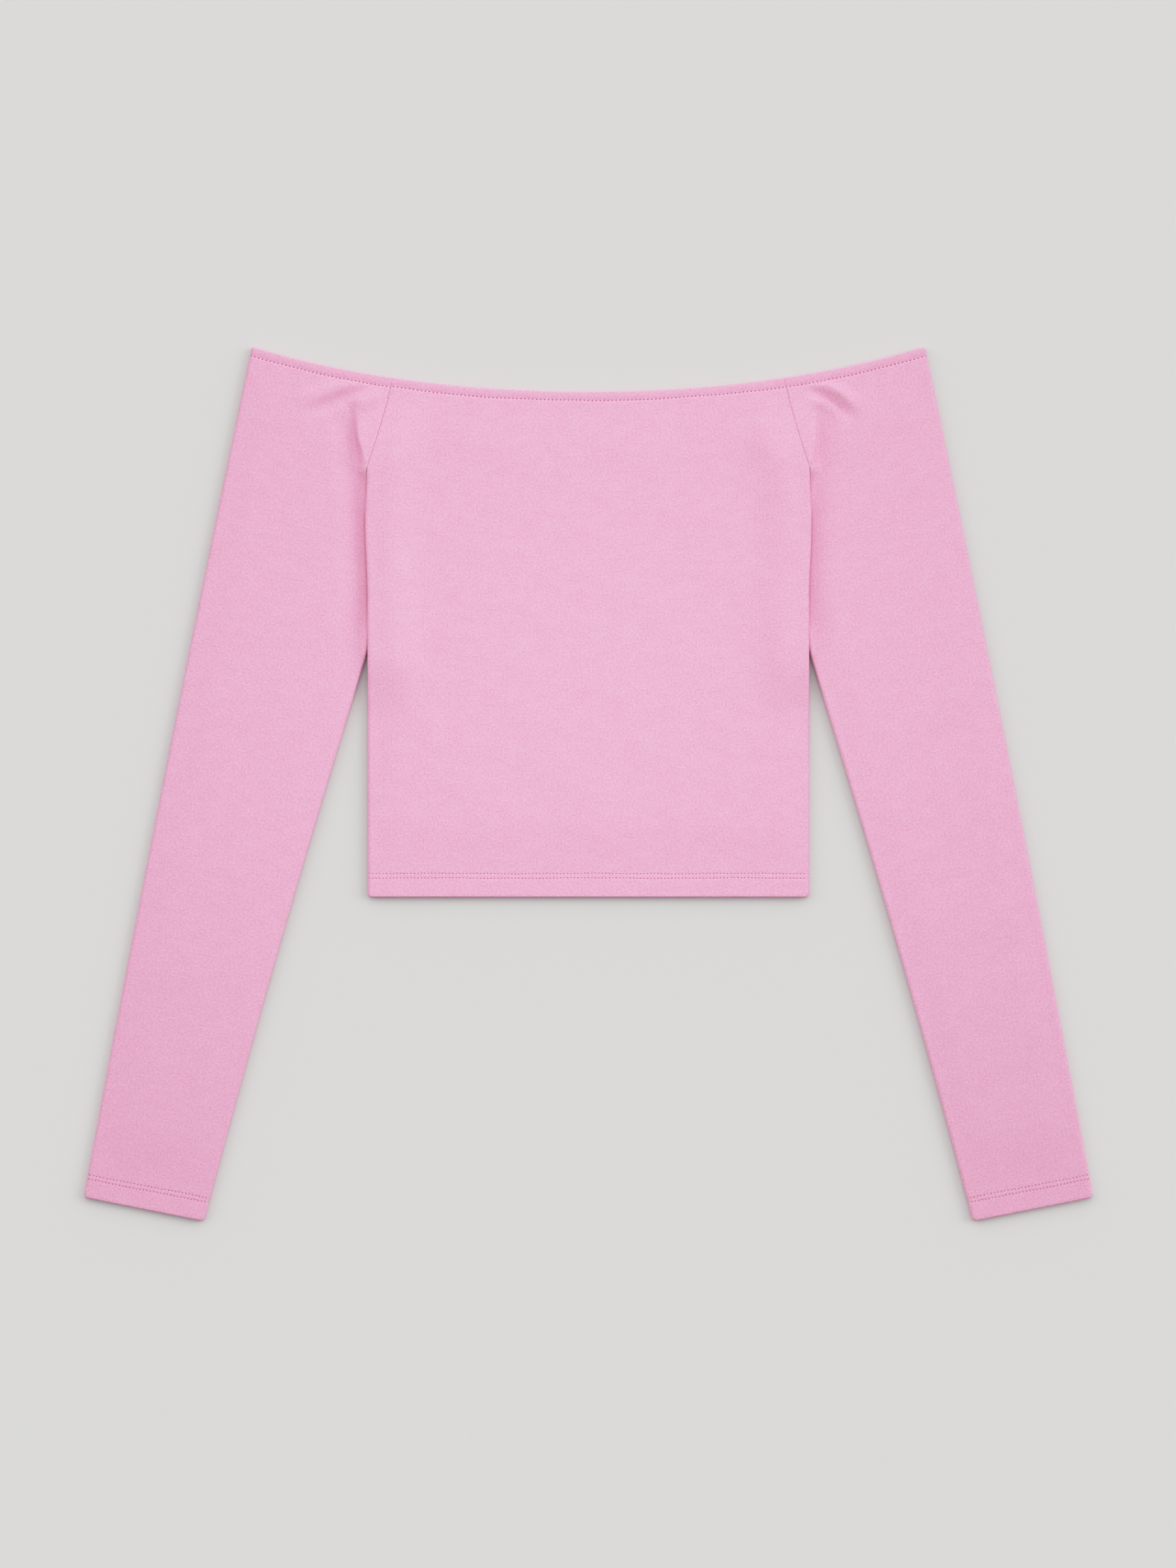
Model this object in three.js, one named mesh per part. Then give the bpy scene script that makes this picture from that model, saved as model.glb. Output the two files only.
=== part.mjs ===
// Off-shoulder top in stretch jersey, laid flat with its front up.
// Millimetres, +Z up: X runs across the top, Y from hem to neckline, and it lies on z = 0.
// Four pieces of cloth: a front and a back panel, and two sleeves, each folded round its outer edge.
import * as THREE from 'three';

// Outline of the laid garment
const BODY_LENGTH = 356;         // centre front, neckline to hem
const BODY_HALF_WIDTH = 155.4;   // from the centre to a side seam
const SIDE_SWELL = 1.6;          // how far the side seam bows out below the armpit
const SIDE_SWELL_Y = 183;
const SIDE_SWELL_REACH = 50;
const NECK_HALF_WIDTH = 237;     // from the centre to a sleeve's outer fold
const NECK_RISE = 31.7;          // the neckline's rise from the centre to the outer fold
const NECK_ROUND = 0.87;         // the share of that rise in a plain parabola
const SEAM_TOP_X = 138;          // where the armhole seam meets the neckline
const SEAM_CURVE = 1.2;          // 1 would make the armhole seam straight
const UNDERARM_Y = 223;          // where armhole, side and underarm seams meet
const CUFF_OUTER = { x: 355.6, y: -291.2 };
const CUFF_INNER = { x: 271, y: -308.05 };
const NOTCH = { x: 155.3, y: 94 };   // where the sleeve's inner edge comes out from under the body
const OUTER_BOW = 1.85;          // how far the sleeve's outer fold bows out at its middle
const INNER_BOW = 2.65;          // the same for its inner edge

// Cloth
const CLOTH = 1.1;               // wall of one layer
const TURNED = 1.8;              // wall where an edge is turned in and stitched
const STACK = 4.5;               // height of the front and back layer with the air between them
const LEAST_GAP = 0.4;           // air left where a fold or the body presses the layers together
const SEAM_GAP = 0.3;            // between two pieces at a seam
const HEM_DEPTH = 17;            // turned hem of the body
const CUFF_DEPTH = 16.4;         // turned cuff of a sleeve
const NECK_DEPTH = 5.1;          // turned neckline edge
const TURN_STEP = 2.5;           // length over which a turned edge thins to one layer
const EDGE_LEAST = 0.4;          // share of the wall left at the very edge of a rounded fold

// Lie of the cloth
const TUCK_DEPTH = 11;           // how far a sleeve reaches in under the body
const TUCK_TOP_Y = 219;          // the tuck runs from here down to the notch
const LIFT = 4.8;                // height by which the tucked sleeve raises the body's side
const LIFT_LOW_Y = 45;           // below this the body lies on the surface again
const LIFT_RAMP = 32;            // width over which the raised side falls to the surface
const TUCK_MARGIN = 2;           // the raised side stays level this far past the tucked sleeve
const TUCK_CLEARANCE = 0.2;      // beyond a seam's gap, where the sleeve drops beside the body
const CROWN = 1.2;               // how far a front layer stands up off its back layer
const CROWN_MARGIN = 22;         // it rises over this width beside a side, a seam or a fold
const CROWN_FROM_HEM = 55;       // and it is full this far from the body's hem
const CROWN_FROM_CUFF = 60;
const CROWN_FROM_NECK = 45;

// Where a sleeve's raised head drops off beside the body, and below it where the sleeve comes out from
// under the body: distance from the seam, and the drop's width
const CREASES = [
  { y: 286, left: 24, right: 30, leftWidth: 14, rightWidth: 14 },
  { y: 270, left: 17, right: 22, leftWidth: 12, rightWidth: 14 },
  { y: 258, left: 13.5, right: 17.6, leftWidth: 7, rightWidth: 5 },
  { y: 243, left: 9.4, right: 12.2, leftWidth: 7, rightWidth: 5 },
  { y: 232, left: 5, right: 5.2, leftWidth: 7, rightWidth: 6 },
  { y: 223, left: 2, right: 2, leftWidth: 7, rightWidth: 7 },
  { y: 215, left: 2.4, right: 2.4, leftWidth: 6, rightWidth: 6 },
  { y: 190, left: 5.5, right: 5.5, leftWidth: 3, rightWidth: 3 },
  { y: 156, left: 8, right: 8, leftWidth: 3, rightWidth: 3 },
  { y: 120, left: 4.5, right: 4.5, leftWidth: 3, rightWidth: 3 },
  { y: 94, left: 1.6, right: 1.6, leftWidth: 2, rightWidth: 2 },
  { y: -308, left: 3, right: 3, leftWidth: 14, rightWidth: 14 },
];

// Beside the body the sleeve's front layer is pressed down
const PRESSED = { left: 1.4, right: 1.9 };
const PRESSED_REACH = 22;            // it rises back to its full height over this width
const PRESSED_LOW_Y = [74, 114];     // it is pressed more and more over these rows above the notch
const PRESSED_HIGH_Y = [240, 265];   // and less and less over these at the head

const FOLD_TIP = 0.35;           // share of a fold's height at its two ends
const FOLD_FROM_SEAM = 6;        // folds fade in over this width beside the seam
const FOLD_FROM_NECK = 7;        // and over this one below the turned neckline

// Largest folds at the sleeve heads: a ridge has a positive height, a trough a negative one
const FOLDS = {
  left: [
    { path: [[161, 283.5], [170, 280.5], [178, 276], [184.5, 270.5], [190, 264]], height: 1.9, reach: 8.5 },
    { path: [[158, 278], [167, 275.5], [174, 271.5], [180, 267], [188, 258.5]], height: -2.6, reach: 6.5 },
    { path: [[162, 270], [169, 267.5], [176, 263.5]], height: 1.3, reach: 6 },
  ],
  right: [
    { path: [[168, 282], [185, 277.5], [200, 273]], height: 1.3, reach: 9 },
    { path: [[165, 277], [175, 273.5], [183, 269.5], [192, 265.5], [201, 262.5]], height: -1.6, reach: 7.5 },
    { path: [[147, 273], [158, 270], [166, 266]], height: 1.6, reach: 9 },
  ],
};

// Rows of the wall, by the Y of their inner or side end
const EDGE_ROWS = [0, 0.3, 1];   // distances from a turned edge, whose fold is rounded off over them
const HEM_ROWS = [...EDGE_ROWS, 8, 15, 18.5];
const CUFF_ROWS = [...EDGE_ROWS, 8, 14.5, 18];
const BODY_ROWS = [-45, -22, 10, 45, 68, 92, 130, 170, 205, 219, 223, 235, 247, 259, 270];
const SLEEVE_ROWS = [
  -260, -200, -130, -60, 10, 60, 94, 120, 150, 175, 200,
  212, 219, 221, 223, 226, 230, 237, 244, 251, 258, 265, 272,
];
const NECK_ROWS = [7.5, 4.2, ...EDGE_ROWS.toReversed()];
const BODY_COLUMNS = [7, 13, 21, 29, 37, 47, 82, 118];   // distances in from a side
const FIELD_SHARES = [0.05, 0.1, 0.16, 0.25, 0.37, 0.52, 0.72, 0.88];
const BACK_SHARES = [0.75, 0.5, 0.22];
const CURL_STEPS = 3;            // segments in the curl at a seam
const LEAST_CURL = 0.02;         // a flat end is an arc of this share of the full curl
const FOLD_STEPS = 4;            // segments round a sleeve's outer fold

const BOTTOM_Y = CUFF_INNER.y;
const HEM_Y = -BOTTOM_Y - NECK_RISE - BODY_LENGTH;
const NECK_Y = HEM_Y + BODY_LENGTH;

const clamp = (value, low, high) => Math.min(high, Math.max(low, value));
const mix = (a, b, t) => a + (b - a) * t;

function smooth(from, to, value) {
  const t = clamp((value - from) / (to - from), 0, 1);
  return t * t * (3 - 2 * t);
}

function necklineY(x) {
  const t = Math.abs(x) / NECK_HALF_WIDTH;
  return NECK_Y + NECK_RISE * (NECK_ROUND * t ** 2 + (1 - NECK_ROUND) * t ** 4);
}

const SEAM_TOP_Y = necklineY(SEAM_TOP_X);

function sideX(y) {
  const t = clamp((y - SIDE_SWELL_Y) / SIDE_SWELL_REACH, -1, 1);
  return BODY_HALF_WIDTH + SIDE_SWELL * Math.cos(t * Math.PI / 2) ** 2;
}

function armholeX(y) {
  const t = (SEAM_TOP_Y - y) / (SEAM_TOP_Y - UNDERARM_Y);
  return mix(SEAM_TOP_X, sideX(UNDERARM_Y), t ** SEAM_CURVE);
}

// Edge of the body panels: side seam below the underarm, armhole seam above it
const panelEdgeX = (y) => (y < UNDERARM_Y ? sideX(y) : armholeX(y));

// Outer fold of a sleeve
function outerX(y) {
  const t = (necklineY(NECK_HALF_WIDTH) - y) / (necklineY(NECK_HALF_WIDTH) - CUFF_OUTER.y);
  return mix(NECK_HALF_WIDTH, CUFF_OUTER.x, t) + OUTER_BOW * 4 * t * (1 - t);
}

// Inner edge of a sleeve: armhole seam, then tucked in under the body, then free down to the cuff
function innerX(y) {
  if (y >= UNDERARM_Y) return armholeX(y) + SEAM_GAP;
  if (y > NOTCH.y) {
    const t = clamp((y - NOTCH.y) / (TUCK_TOP_Y - NOTCH.y), 0, 1);
    const clear = mix(NOTCH.x - BODY_HALF_WIDTH, SEAM_GAP + TUCK_CLEARANCE, t);
    return sideX(y) + clear - TUCK_DEPTH * 4 * t * (1 - t);
  }
  const t = (NOTCH.y - y) / (NOTCH.y - CUFF_INNER.y);
  return mix(NOTCH.x, CUFF_INNER.x, t) + INNER_BOW * 4 * t * (1 - t);
}

// The outer end of the row whose inner end is at y: rows follow the neckline's and the cuff's slope
function outerY(y) {
  const atNeck = necklineY(NECK_HALF_WIDTH) - SEAM_TOP_Y;
  const atCuff = CUFF_OUTER.y - CUFF_INNER.y;
  return y + mix(atCuff, atNeck, (y - CUFF_INNER.y) / (SEAM_TOP_Y - CUFF_INNER.y));
}

// How far the cloth of the body is raised by the sleeve tucked under its side
function liftAlong(y) {
  return LIFT * smooth(LIFT_LOW_Y, NOTCH.y - 2, y) * (1 - smooth(UNDERARM_Y, SEAM_TOP_Y, y));
}

function bodyLift(x, y) {
  const inward = panelEdgeX(y) - Math.abs(x);
  const level = TUCK_DEPTH + TUCK_MARGIN;
  return liftAlong(y) * (1 - smooth(level, level + LIFT_RAMP, inward));
}

// Half of the wall at a distance from a turned edge
function halfWall(distance, depth) {
  return mix(TURNED, CLOTH, smooth(depth - 1, depth - 1 + TURN_STEP, distance)) / 2;
}

// The fold of a turned edge is rounded off: the share of the half wall left at a distance from it
function edgeRound(distance, half) {
  const t = clamp(1 - distance / half, 0, 1);
  return Math.max(EDGE_LEAST, Math.sqrt(1 - t * t));
}

function creaseAt(y, side) {
  let k = 0;
  while (k < CREASES.length - 2 && CREASES[k + 1].y > y) k += 1;
  const above = CREASES[k];
  const below = CREASES[k + 1];
  const t = clamp((above.y - y) / (above.y - below.y), 0, 1);
  const width = `${side}Width`;
  return { from: mix(above[side], below[side], t), width: mix(above[width], below[width], t) };
}

// Height of a sleeve head's folds at a point
function foldHeight(x, y, folds) {
  let height = 0;
  for (const fold of folds) {
    const last = fold.path.length - 1;
    let near = Infinity;
    let along = 0;
    for (let k = 0; k < last; k += 1) {
      const [ax, ay] = fold.path[k];
      const [bx, by] = fold.path[k + 1];
      const span = (bx - ax) ** 2 + (by - ay) ** 2;
      const t = clamp(((x - ax) * (bx - ax) + (y - ay) * (by - ay)) / span, 0, 1);
      const distance = Math.hypot(x - mix(ax, bx, t), y - mix(ay, by, t));
      if (distance < near) {
        near = distance;
        along = (k + t) / last;
      }
    }
    const ends = Math.min(1, FOLD_TIP + 2 * Math.sin(along * Math.PI));
    height += fold.height * ends * (1 - smooth(0, fold.reach, near));
  }
  return height;
}

// Points that curl a layer's end towards the other layer, from the seam end to where the layer is flat.
// away is the distance in from the edge, down the way towards the other layer; share 0 is flat, 1 full.
function curl(half, share) {
  const radius = (STACK - SEAM_GAP) / 2 - half;
  const length = radius * Math.PI / 2;
  const turn = Math.max(share, LEAST_CURL) * Math.PI / 2;
  const start = mix(length, radius + half, share);
  const points = [];
  for (let k = 0; k <= CURL_STEPS; k += 1) {
    const angle = turn * (1 - k / CURL_STEPS);
    points.push({
      away: start - length / turn * Math.sin(angle),
      down: length / turn * (1 - Math.cos(angle)),
    });
  }
  return points;
}

// The side and underarm seams curl fully below the tuck's top and lie flat at the underarm
const curlShare = (y) => 1 - smooth(TUCK_TOP_Y, UNDERARM_Y, y);

const direction = (from, to) => new THREE.Vector3().subVectors(to, from).normalize();

// The way a row runs at one of its points. At its two ends the curl goes on turning as it did before.
function directionAt(points, j) {
  const last = points.length - 1;
  if (j === 0) {
    return direction(points[0], points[1]).multiplyScalar(2).sub(direction(points[0], points[2]));
  }
  if (j === last) {
    return direction(points[last - 1], points[last]).multiplyScalar(2)
      .sub(direction(points[last - 2], points[last]));
  }
  return direction(points[j - 1], points[j + 1]);
}

// A closed wall of cloth on rows of middle points, each row with its half thickness
function clothWall(rows, flip) {
  const last = rows.length - 1;
  const count = rows[0].points.length;
  const front = [];
  const back = [];
  rows.forEach((row, i) => {
    row.points.forEach((point, j) => {
      const along = direction(rows[Math.max(i - 1, 0)].points[j], rows[Math.min(i + 1, last)].points[j]);
      const normal = directionAt(row.points, j).cross(along).normalize();
      if (flip) normal.negate();
      front.push(point.clone().addScaledVector(normal, row.half));
      back.push(point.clone().addScaledVector(normal, -row.half));
    });
  });
  const positions = [...front, ...back].flatMap((point) => point.toArray());
  const offset = front.length;
  const indices = [];
  const quad = (a, b, c, d) => {
    if (flip) indices.push(a, c, b, a, d, c);
    else indices.push(a, b, c, a, c, d);
  };
  const at = (i, j) => i * count + j;
  for (let i = 0; i < last; i += 1) {
    for (let j = 0; j < count - 1; j += 1) {
      quad(at(i, j), at(i, j + 1), at(i + 1, j + 1), at(i + 1, j));
      quad(offset + at(i, j), offset + at(i + 1, j), offset + at(i + 1, j + 1), offset + at(i, j + 1));
    }
    quad(at(i, 0), at(i + 1, 0), offset + at(i + 1, 0), offset + at(i, 0));
    const end = count - 1;
    quad(at(i, end), offset + at(i, end), offset + at(i + 1, end), at(i + 1, end));
  }
  for (let j = 0; j < count - 1; j += 1) {
    quad(at(0, j), offset + at(0, j), offset + at(0, j + 1), at(0, j + 1));
    quad(at(last, j), at(last, j + 1), offset + at(last, j + 1), offset + at(last, j));
  }
  const geometry = new THREE.BufferGeometry();
  geometry.setAttribute('position', new THREE.Float32BufferAttribute(positions, 3));
  geometry.setIndex(indices);
  geometry.computeVertexNormals();
  return geometry;
}

// Front or back panel: rows from hem to neckline, each across from one side to the other
function bodyPanel(isFront) {
  const edgeRows = [
    ...HEM_ROWS.map((d) => HEM_Y + d),
    ...BODY_ROWS,
    ...NECK_ROWS.map((d) => SEAM_TOP_Y - d),
  ];
  const rows = edgeRows.map((edgeY) => {
    const fromHem = edgeY - HEM_Y;
    const fromNeck = SEAM_TOP_Y - edgeY;
    const full = Math.max(halfWall(fromHem, HEM_DEPTH), halfWall(fromNeck, NECK_DEPTH));
    const half = full * edgeRound(Math.min(fromHem, fromNeck), full);
    const edgeX = panelEdgeX(edgeY);
    const share = fromHem / (necklineY(edgeX) - HEM_Y);
    const seam = curl(full, curlShare(edgeY));
    const flat = seam[CURL_STEPS].away;
    const side = [
      ...seam,
      ...BODY_COLUMNS.map((d) => ({ away: flat + d * edgeX / BODY_HALF_WIDTH, down: 0 })),
    ].map(({ away, down }) => ({ x: -(edgeX - away), down }));
    const line = [...side, { x: 0, down: 0 }, ...side.toReversed().map(({ x, down }) => ({ x: -x, down }))];
    const points = line.map(({ x, down }) => {
      const y = edgeY + (necklineY(x) - necklineY(edgeX)) * share ** 2;
      const lift = bodyLift(x, edgeY);
      const inward = edgeX - Math.abs(x);
      const crown = CROWN * smooth(HEM_DEPTH, CROWN_FROM_HEM, fromHem)
        * smooth(NECK_DEPTH, CROWN_FROM_NECK, fromNeck) * smooth(flat, flat + CROWN_MARGIN, inward);
      const z = isFront ? lift + STACK - full + crown - down : lift + full + down;
      return new THREE.Vector3(x, y, z);
    });
    return { points, half };
  });
  return clothWall(rows, !isFront);
}

// Sleeve: rows from cuff to neckline, each from the seam over the front layer, round the outer fold
// and back under to the seam
function sleeve(side) {
  const sign = side === 'left' ? 1 : -1;
  const innerRows = [
    ...CUFF_ROWS.map((d) => CUFF_INNER.y + d),
    ...SLEEVE_ROWS,
    ...NECK_ROWS.map((d) => SEAM_TOP_Y - d),
  ];
  const rows = innerRows.map((innerY) => {
    const fromCuff = innerY - CUFF_INNER.y;
    const fromNeck = SEAM_TOP_Y - innerY;
    const full = Math.max(halfWall(fromCuff, CUFF_DEPTH), halfWall(fromNeck, NECK_DEPTH));
    const half = full * edgeRound(Math.min(fromCuff, fromNeck), full);
    const inner = new THREE.Vector2(innerX(innerY), innerY);
    const outer = new THREE.Vector2(outerX(outerY(innerY)), outerY(innerY));
    const width = inner.distanceTo(outer);
    const seam = curl(full, curlShare(innerY));
    const seamFlat = seam[CURL_STEPS].away;
    const foldRadius = STACK / 2 - full;
    const foldStart = width - foldRadius - full;
    const crease = creaseAt(innerY, side);
    const drop = [0, 1 / 3, 2 / 3, 1].map((t) => crease.from + t * crease.width);
    const field = drop[3];

    const line = [];
    seam.forEach(({ away, down }) => line.push({ away, layer: 1, down }));
    line.push({ away: (seamFlat + drop[0]) / 2, layer: 1, down: 0 });
    drop.forEach((away) => line.push({ away, layer: 1, down: 0 }));
    FIELD_SHARES.forEach((t) => line.push({ away: mix(field, foldStart, t), layer: 1, down: 0 }));
    for (let k = 0; k <= FOLD_STEPS; k += 1) {
      const angle = Math.PI * (0.5 - k / FOLD_STEPS);
      line.push({
        away: foldStart + foldRadius * Math.cos(angle), layer: (Math.sin(angle) + 1) / 2, down: 0,
      });
    }
    BACK_SHARES.forEach((t) => line.push({ away: mix(field, foldStart, t), layer: 0, down: 0 }));
    [drop[3], drop[1], drop[0]].forEach((away) => line.push({ away, layer: 0, down: 0 }));
    seam.toReversed().forEach(({ away, down }) => line.push({ away, layer: 0, down }));

    const neckShare = smooth(UNDERARM_Y, SEAM_TOP_Y, innerY);
    const chordRise = necklineY(NECK_HALF_WIDTH) - SEAM_TOP_Y;
    const seamLift = innerY < UNDERARM_Y ? LIFT * smooth(TUCK_TOP_Y, UNDERARM_Y, innerY) : liftAlong(innerY);
    const points = line.map(({ away, layer, down }) => {
      const t = away / width;
      const x = mix(inner.x, outer.x, t);
      const neckX = mix(SEAM_TOP_X, NECK_HALF_WIDTH, t);
      const bow = necklineY(neckX) - SEAM_TOP_Y - chordRise * t;
      const y = mix(inner.y, outer.y, t) + bow * neckShare;
      const lift = seamLift * (1 - smooth(crease.from, crease.from + crease.width, away));
      const crown = CROWN * smooth(crease.from, crease.from + CROWN_MARGIN, away)
        * smooth(0, CROWN_MARGIN, foldStart - away)
        * smooth(CUFF_DEPTH, CROWN_FROM_CUFF, fromCuff) * smooth(NECK_DEPTH, CROWN_FROM_NECK, fromNeck);
      const pressed = PRESSED[side]
        * smooth(crease.from, field, away) * (1 - smooth(field, field + PRESSED_REACH, away))
        * smooth(...PRESSED_LOW_Y, innerY) * (1 - smooth(...PRESSED_HIGH_Y, innerY));
      const raised = Math.max(LEAST_GAP + 4 * full - STACK, foldHeight(x, y, FOLDS[side]) + crown - pressed)
        * smooth(NECK_DEPTH, NECK_DEPTH + FOLD_FROM_NECK, fromNeck)
        * smooth(0, FOLD_FROM_SEAM, away - seamFlat);
      const bottom = lift + full + down;
      const upper = lift + STACK - full - down + (layer === 1 ? raised : 0);
      return new THREE.Vector3(sign * x, y, mix(bottom, upper, layer));
    });
    return { points, half };
  });
  return clothWall(rows, sign < 0);
}

function piece(name, geometry, colour) {
  const material = new THREE.MeshStandardMaterial({ color: colour, roughness: 0.9, metalness: 0 });
  const mesh = new THREE.Mesh(geometry, material);
  mesh.name = name;
  return mesh;
}

const JERSEY_PINK = 0xe9b3d0;
const top = new THREE.Group();
top.add(piece('front_panel', bodyPanel(true), JERSEY_PINK));
top.add(piece('back_panel', bodyPanel(false), JERSEY_PINK));
top.add(piece('left_sleeve', sleeve('left'), JERSEY_PINK));
top.add(piece('right_sleeve', sleeve('right'), JERSEY_PINK));

export default top;
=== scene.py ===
import math

import bpy
import numpy as np
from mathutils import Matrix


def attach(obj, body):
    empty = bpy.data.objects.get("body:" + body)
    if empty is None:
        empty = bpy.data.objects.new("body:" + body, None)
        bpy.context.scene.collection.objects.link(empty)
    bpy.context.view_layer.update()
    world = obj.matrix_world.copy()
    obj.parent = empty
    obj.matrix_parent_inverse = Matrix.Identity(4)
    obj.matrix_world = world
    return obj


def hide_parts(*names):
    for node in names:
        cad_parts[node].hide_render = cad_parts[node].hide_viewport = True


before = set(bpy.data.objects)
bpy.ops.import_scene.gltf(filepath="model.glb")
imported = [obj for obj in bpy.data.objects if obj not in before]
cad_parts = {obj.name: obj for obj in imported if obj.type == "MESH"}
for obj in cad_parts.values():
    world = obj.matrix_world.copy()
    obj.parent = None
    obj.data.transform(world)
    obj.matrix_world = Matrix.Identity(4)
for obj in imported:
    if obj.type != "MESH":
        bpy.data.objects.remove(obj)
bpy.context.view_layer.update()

# An off-shoulder top of stretch jersey, laid flat with its front up. Sizes are in millimetres and
# the meshes are made in metres. The four pieces of the frame give the outer sizes.
MM = 0.001

# Camera: straight above, at the photograph's 0.5 mm a pixel
PHOTO_HEIGHT_PX = 2212
PHOTO_CENTRE_X_PX = 829.5
GARMENT_CENTRE_X_PX = 830
MM_PER_PX = 0.5
CAMERA_HEIGHT = 3000
SENSOR = 36

# Light: a dome of soft light, brighter beyond the neckline, a low soft box on either side and a weak
# lamp over the middle of the garment
DOME_LEVEL = 0.68
DOME_TOWARDS_TOP = 0.8
# level, how wide it looks, height above the floor and way round from the neckline to the right; degrees
SOFT_BOXES = {
    "right_box": (0.85, 32, 24, 75),
    "left_box": (0.35, 32, 24, -75),
}
LAMP_POWER = 0.92
LAMP_SIZE = 300
LAMP_PLACE = (0, 100, 600)

# The camera's tone curve, as (light in, light out) in linear light: it lifts contrast in the middle
# and rolls off towards white
TONE_WHITE = 1.27
TONE_CURVE = (
    (0.131, 0.1), (0.227, 0.2), (0.315, 0.3), (0.396, 0.4), (0.473, 0.5), (0.554, 0.6), (0.649, 0.7),
    (0.774, 0.8), (0.921, 0.88), (1.13, 0.95),
)

# Outline of the laid garment
BODY_LENGTH = 356
BODY_HALF_WIDTH = 155.4
SIDE_SWELL = 1.6
SIDE_SWELL_Y = 183
SIDE_SWELL_REACH = 50
NECK_HALF_WIDTH = 237
NECK_RISE = 31.7
NECK_ROUND = 0.87        # share of the neckline's rise that follows a parabola
SEAM_TOP_X = 138         # the armhole seam's end at the neckline
SEAM_CURVE = 1.2
UNDERARM_Y = 223
CUFF_OUTER = (355.6, -291.2)
CUFF_INNER = (271, -308.05)
NOTCH = (155.3, 94)      # where the sleeve's inner edge comes out from under the body's side
OUTER_BOW = 1.85         # how far the sleeve's edges bow out
INNER_BOW = 2.65
CORNER = 2.4             # radius of the hem's and cuffs' corners
HEM_Y = -CUFF_INNER[1] - NECK_RISE - BODY_LENGTH
NECK_Y = HEM_Y + BODY_LENGTH

# Cloth: the solids' walls, and the thin jersey that lies on their outer faces
CLOTH = 1.1
TURNED = 1.8
STACK = 4.5              # height of the front and back layer with the air between them
LEAST_GAP = 0.4
SEAM_GAP = 0.3
SEAM_GAP_SHOWN = 0.2     # sewn edges meet closer than the solids do
JERSEY = 0.6             # thickness of the knit itself
HEM_DEPTH = 17
CUFF_DEPTH = 16.4
NECK_DEPTH = 5.1
TURN_MARGIN = 1          # a turned edge's wall starts to thin this much before its depth
TURN_STEP = 2.5          # and thins to one layer over this width
RAW_EDGE = 1.4           # how far a turned edge goes past its stitching

# Lie of the cloth
TUCK_DEPTH = 11          # how far the sleeve goes in under the body's side
TUCK_TOP_Y = 219
LIFT = 4.8               # how far the body rises over the sleeve under it
LIFT_LOW_Y = 45
LIFT_RAMP = 32
TUCK_MARGIN = 2
TUCK_CLEARANCE = 0.2
CROWN = 1.2              # how far the front layer stands up away from its edges
CROWN_MARGIN = 22
CROWN_FROM_HEM = 55
CROWN_FROM_CUFF = 60
CROWN_FROM_NECK = 45
SEAM_FLAT = 2            # a flat strip beside each seam
CURL_FADE = (9, 2)       # below the underarm, where a seam's full curl starts to flatten and is flat
LEAST_TURN = 0.02        # a flat seam is drawn as this share of a curl
HIDDEN_CURL = 9          # a sleeve's seam curls and drops this much lower, where the body hides it
UNEVENNESS = 0.4         # height of the faint waves that are left in smoothed cloth
WAVES = 7
WAVE_LENGTHS = (34, 90)
SLEEVE_SLANT = 1.015     # length along a sleeve for each millimetre of its height on the surface

# Where a sleeve's raised head drops off beside the body, and below it where the sleeve comes out from
# under the body: Y, distance from the seam on the left and right sleeve, width of the drop on each
CREASES = np.array((
    (286, 19, 26, 26, 22),
    (270, 14, 19, 18, 18),
    (258, 13.5, 17.6, 6, 5),
    (243, 9.4, 12.4, 4.6, 4),
    (232, 5, 5.4, 5, 5),
    (223, 0.2, 0.2, 8, 8),
    (215, 0.6, 0.6, 8, 8),
    (190, 5.5, 5.5, 3, 3),
    (156, 8, 8, 3, 3),
    (120, 4.5, 4.5, 3, 3),
    (94, 1.6, 1.6, 2, 2),
    (-308, 3, 3, 14, 14),
))[::-1]

# Beside the body the sleeve's front layer is pressed down
PRESSED = {"left": 1.4, "right": 1.9}
PRESSED_REACH = 22
PRESSED_LOW_Y = (74, 114)
PRESSED_HIGH_Y = (240, 265)

# Folds at the sleeve heads: path in mm, height (a trough is negative) and half width
FOLDS = {
    "left": (
        (((155, 284), (167, 280), (177, 274.5), (184.5, 268.5), (192, 260)), 1.9, 8.5),
        (((151, 279), (164, 275), (172, 270.5), (179, 265), (189, 254.5)), -2.6, 6.5),
        (((156, 271), (166, 267.5), (176, 261)), 1.3, 6),
    ),
    "right": (
        (((156, 284.5), (176, 279.5), (191, 274.5), (206, 268)), 1.3, 9),
        (((152, 280), (166, 275.5), (175, 271.5), (184, 267), (198, 258.5)), -1.6, 7.5),
        (((144, 274), (155, 271), (165, 265.5)), 1.5, 9),
    ),
}
FOLD_FADE = 1.35         # how fast a fold grows from either end
FOLD_FROM_SEAM = 6
FOLD_FROM_NECK = 7

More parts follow.
